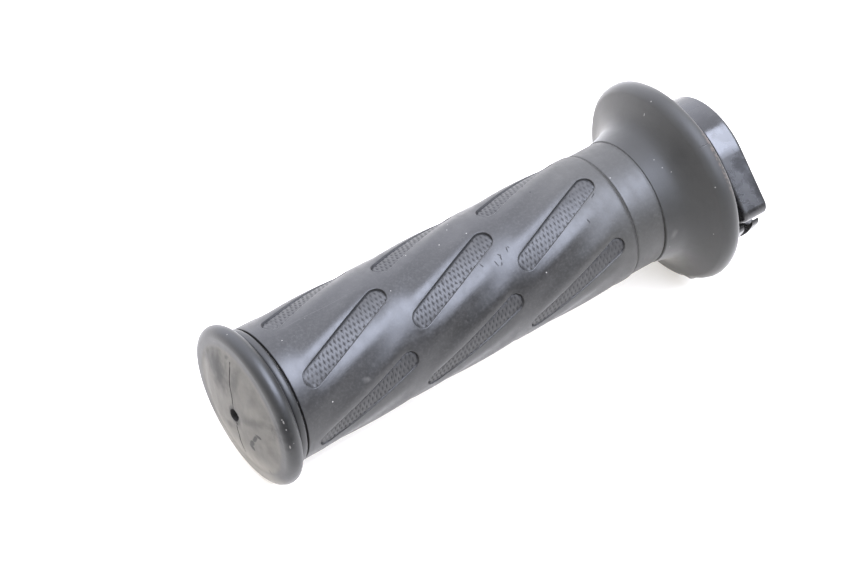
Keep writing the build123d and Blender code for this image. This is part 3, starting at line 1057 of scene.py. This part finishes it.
def tube_plastic():
    """The tube's own black plastic, drawn along its length and rubbed by the bar."""
    g = Graph("tube_plastic_rubbed")
    drawn = g.noise(0.9, 3.0, 0.6, stretch=(0.06, 1.0, 1.0))
    patches = g.noise(6.0, 3.0, stretch=(0.4, 1.0, 1.0))
    colour = g.mix(g.spread(patches, 0.3, 0.7), *TUBE_BLACKS)
    rough = g.math("ADD", g.spread(patches, 0.25, 0.75, 0.36, 0.46), g.spread(drawn, 0.2, 0.8, -0.04, 0.05))
    return g.finish(Base_Color=colour, Roughness=rough, Normal=g.bump(drawn, 0.03, 0.6), IOR=1.5)


# ---------------------------------------------------------------- the scene

# The key light's direction: its share along the axis and its share across it
KEY_ALONG = 0.28
KEY_AROUND = 0.917

# The sheet: half its side in metres, and its pairs of colours towards the camera's side and beyond. The
# darker near pair and the paler far pair are painted light: a painted fall of light towards the camera's
# side.
SHEET_HALF = 3.0
SHEET_NEAR_PAINTED_SHADE = ((0.25, 0.24, 0.215), (0.27, 0.255, 0.23))
SHEET_FAR_PAINTED_LIGHT = ((0.57, 0.54, 0.49), (0.60, 0.57, 0.52))

# The sky: the direction where it is brightest, its strength there, how its light rises from the darkest
# direction to that one, and its red, green and blue, which turn bluer as it brightens
SKY_BRIGHTEST = (0.0, 0.7071, 0.7071)
SKY_STRENGTH = 4.1
SKY = ((0.0, 0.10), (0.37, 0.13), (0.66, 0.34), (0.86, 0.70), (1.0, 1.0))
SKY_TINT = ((1.0, -0.08), (0.98, -0.03), (0.94, 0.16))

# The camera, in metres but for its lens and sensor
LENS = 108.84
SENSOR = 36.0
CAMERA_AT = (-0.328636, -0.365307, 0.431430)
CAMERA_LOOKS_AT = (-0.08983, -0.00642, 0.01409)

# About the grip's middle, which the key light shines on, in metres
MIDDLE = Vector((-0.075, 0.0, 0.0))


def aim(obj, at, up):
    """Turns an object so that its -Z looks at a point, with its +Y as near as it can be to up."""
    forward = (Vector(at) - obj.location).normalized()
    right = forward.cross(Vector(up)).normalized()
    over = right.cross(forward)
    turn = Matrix((right, over, -forward)).transposed()
    obj.rotation_euler = turn.to_euler()


def tangent_floor():
    """The plane that the rubber's two widest rings rest on: a point below the cap, and the upward normal."""
    cap_x, bell_x = RIM_CENTRE[0], LIP[0]
    slope = -(BELL_R - CAP_R) / (bell_x - cap_x)
    normal = Vector((-slope, 0, 1)).normalized()
    return Vector((cap_x * MM, 0, -CAP_R * MM)), normal


def softbox(name, towards, distance, size, power_per_area, up, colour):
    """A soft rectangular light, in a direction from the grip's middle. Its distance and its width and
    height are in metres, and its height runs as near to up as it can."""
    light = bpy.data.lights.new(name, "AREA")
    light.shape = "RECTANGLE"
    light.size, light.size_y = size
    light.energy = power_per_area * size[0] * size[1]
    light.color = colour
    obj = bpy.data.objects.new(name, light)
    obj.location = MIDDLE + Vector(towards).normalized() * distance
    bpy.context.scene.collection.objects.link(obj)
    aim(obj, MIDDLE, up)


def over_grip(degrees):
    """The direction of the key light: an angle from straight up towards the camera's side."""
    a = math.radians(degrees)
    return Vector((KEY_ALONG, -KEY_AROUND * math.sin(a), KEY_AROUND * math.cos(a)))


def sheet(rest_point, normal):
    """A wide pale sheet that lies under the two widest rings, with painted light: its colour is painted paler
    away from the camera, and a painted glow, also brighter away from the camera, lifts the shadows under the
    grip.
    """
    side = Vector((0, 1, 0))
    along = side.cross(normal)
    corners = [
        rest_point + along * a * SHEET_HALF + side * b * SHEET_HALF
        for a, b in ((-1, -1), (1, -1), (1, 1), (-1, 1))
    ]
    mesh = bpy.data.meshes.new("floor")
    mesh.from_pydata(corners, [], [(0, 1, 2, 3)])
    obj = bpy.data.objects.new("floor", mesh)
    bpy.context.scene.collection.objects.link(obj)
    g = Graph("pale_floor_painted_light")
    cloudy = g.noise(60.0, 2.0)
    # Painted light: colour and glow rise away from the camera, a painted pool of light whose glow also pales
    # the shadows.
    painted_light_pool = g.spread(g.y, -170.0, -30.0)
    near, far = (g.mix(cloudy, *pair) for pair in (SHEET_NEAR_PAINTED_SHADE, SHEET_FAR_PAINTED_LIGHT))
    painted_glow = g.spread(painted_light_pool, 0.0, 1.0, 0.34, 0.47, "LINEAR")
    material = g.finish(
        Base_Color=g.mix(painted_light_pool, near, far), Roughness=0.7,
        Emission_Color=(1.0, 0.98, 0.94), Emission_Strength=painted_glow,
    )
    mesh.materials.append(material)
    return obj


def sky():
    """Light from all round: bright above and beyond the grip, dark below and on the camera's side."""
    world = bpy.data.worlds.new("studio")
    world.use_nodes = True
    tree = world.node_tree
    tree.nodes.clear()
    out, light, at, towards, height, ramp_node = (
        tree.nodes.new("ShaderNode" + kind)
        for kind in ("OutputWorld", "Background", "TexCoord", "VectorMath", "MapRange", "ValToRGB")
    )
    towards.operation = "DOT_PRODUCT"
    towards.inputs[1].default_value = SKY_BRIGHTEST
    height.inputs["From Min"].default_value = -1.0
    light.inputs["Strength"].default_value = SKY_STRENGTH
    ramp_node.color_ramp.interpolation = "B_SPLINE"
    stops = ramp_node.color_ramp.elements
    stops.remove(stops[1])
    for i, (position, share) in enumerate(SKY):
        stop = stops[0] if i == 0 else stops.new(position)
        stop.position = position
        stop.color = (*(share * (base + slope * share) for base, slope in SKY_TINT), 1)
    for output, socket in (
        (at.outputs["Generated"], towards.inputs[0]),
        (towards.outputs["Value"], height.inputs[0]),
        (height.outputs[0], ramp_node.inputs[0]),
        (ramp_node.outputs[0], light.inputs["Color"]),
        (light.outputs[0], out.inputs["Surface"]),
    ):
        tree.links.new(output, socket)
    bpy.context.scene.world = world


def camera(up):
    """A long lens above the end disc, which looks at the grip."""
    data = bpy.data.cameras.new("camera")
    data.lens = LENS
    data.sensor_width = SENSOR
    data.dof.use_dof = False
    obj = bpy.data.objects.new("camera", data)
    bpy.context.scene.collection.objects.link(obj)
    obj.location = CAMERA_AT
    aim(obj, CAMERA_LOOKS_AT, up)
    bpy.context.scene.camera = obj


rest_point, floor_normal = tangent_floor()

sleeve_obj = sleeve()
cap_obj = end_cap()
bell_obj = hand_flange()

sleeve_obj.data.materials.append(sleeve_rubber())
sleeve_obj.data.materials.append(knurl_rubber())
cap_obj.data.materials.append(cap_rubber())
cap_obj.data.materials.append(hole_dark())
bell_obj.data.materials.append(bell_rubber())

for piece, node, slot in (
    (sleeve_obj, "grip_sleeve", "sleeve_rubber"),
    (cap_obj, "end_cap", "cap_rubber"),
    (bell_obj, "hand_flange", "flange_rubber"),
):
    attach(piece, "root")
    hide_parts(node)

for node, make in (("cable_drum", drum_plastic), ("throttle_tube", tube_plastic)):
    material = make()
    for mesh_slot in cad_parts[node].material_slots:
        mesh_slot.material = material

floor = sheet(rest_point, floor_normal)

softbox(
    "key", over_grip(27.5), distance=1.3, size=(1.3, 1.02), power_per_area=42.0,
    up=(0, 1, 0.5), colour=(0.86, 0.93, 1.15),
)
sky()
camera(floor_normal)
bpy.context.scene.view_settings.view_transform = "Standard"
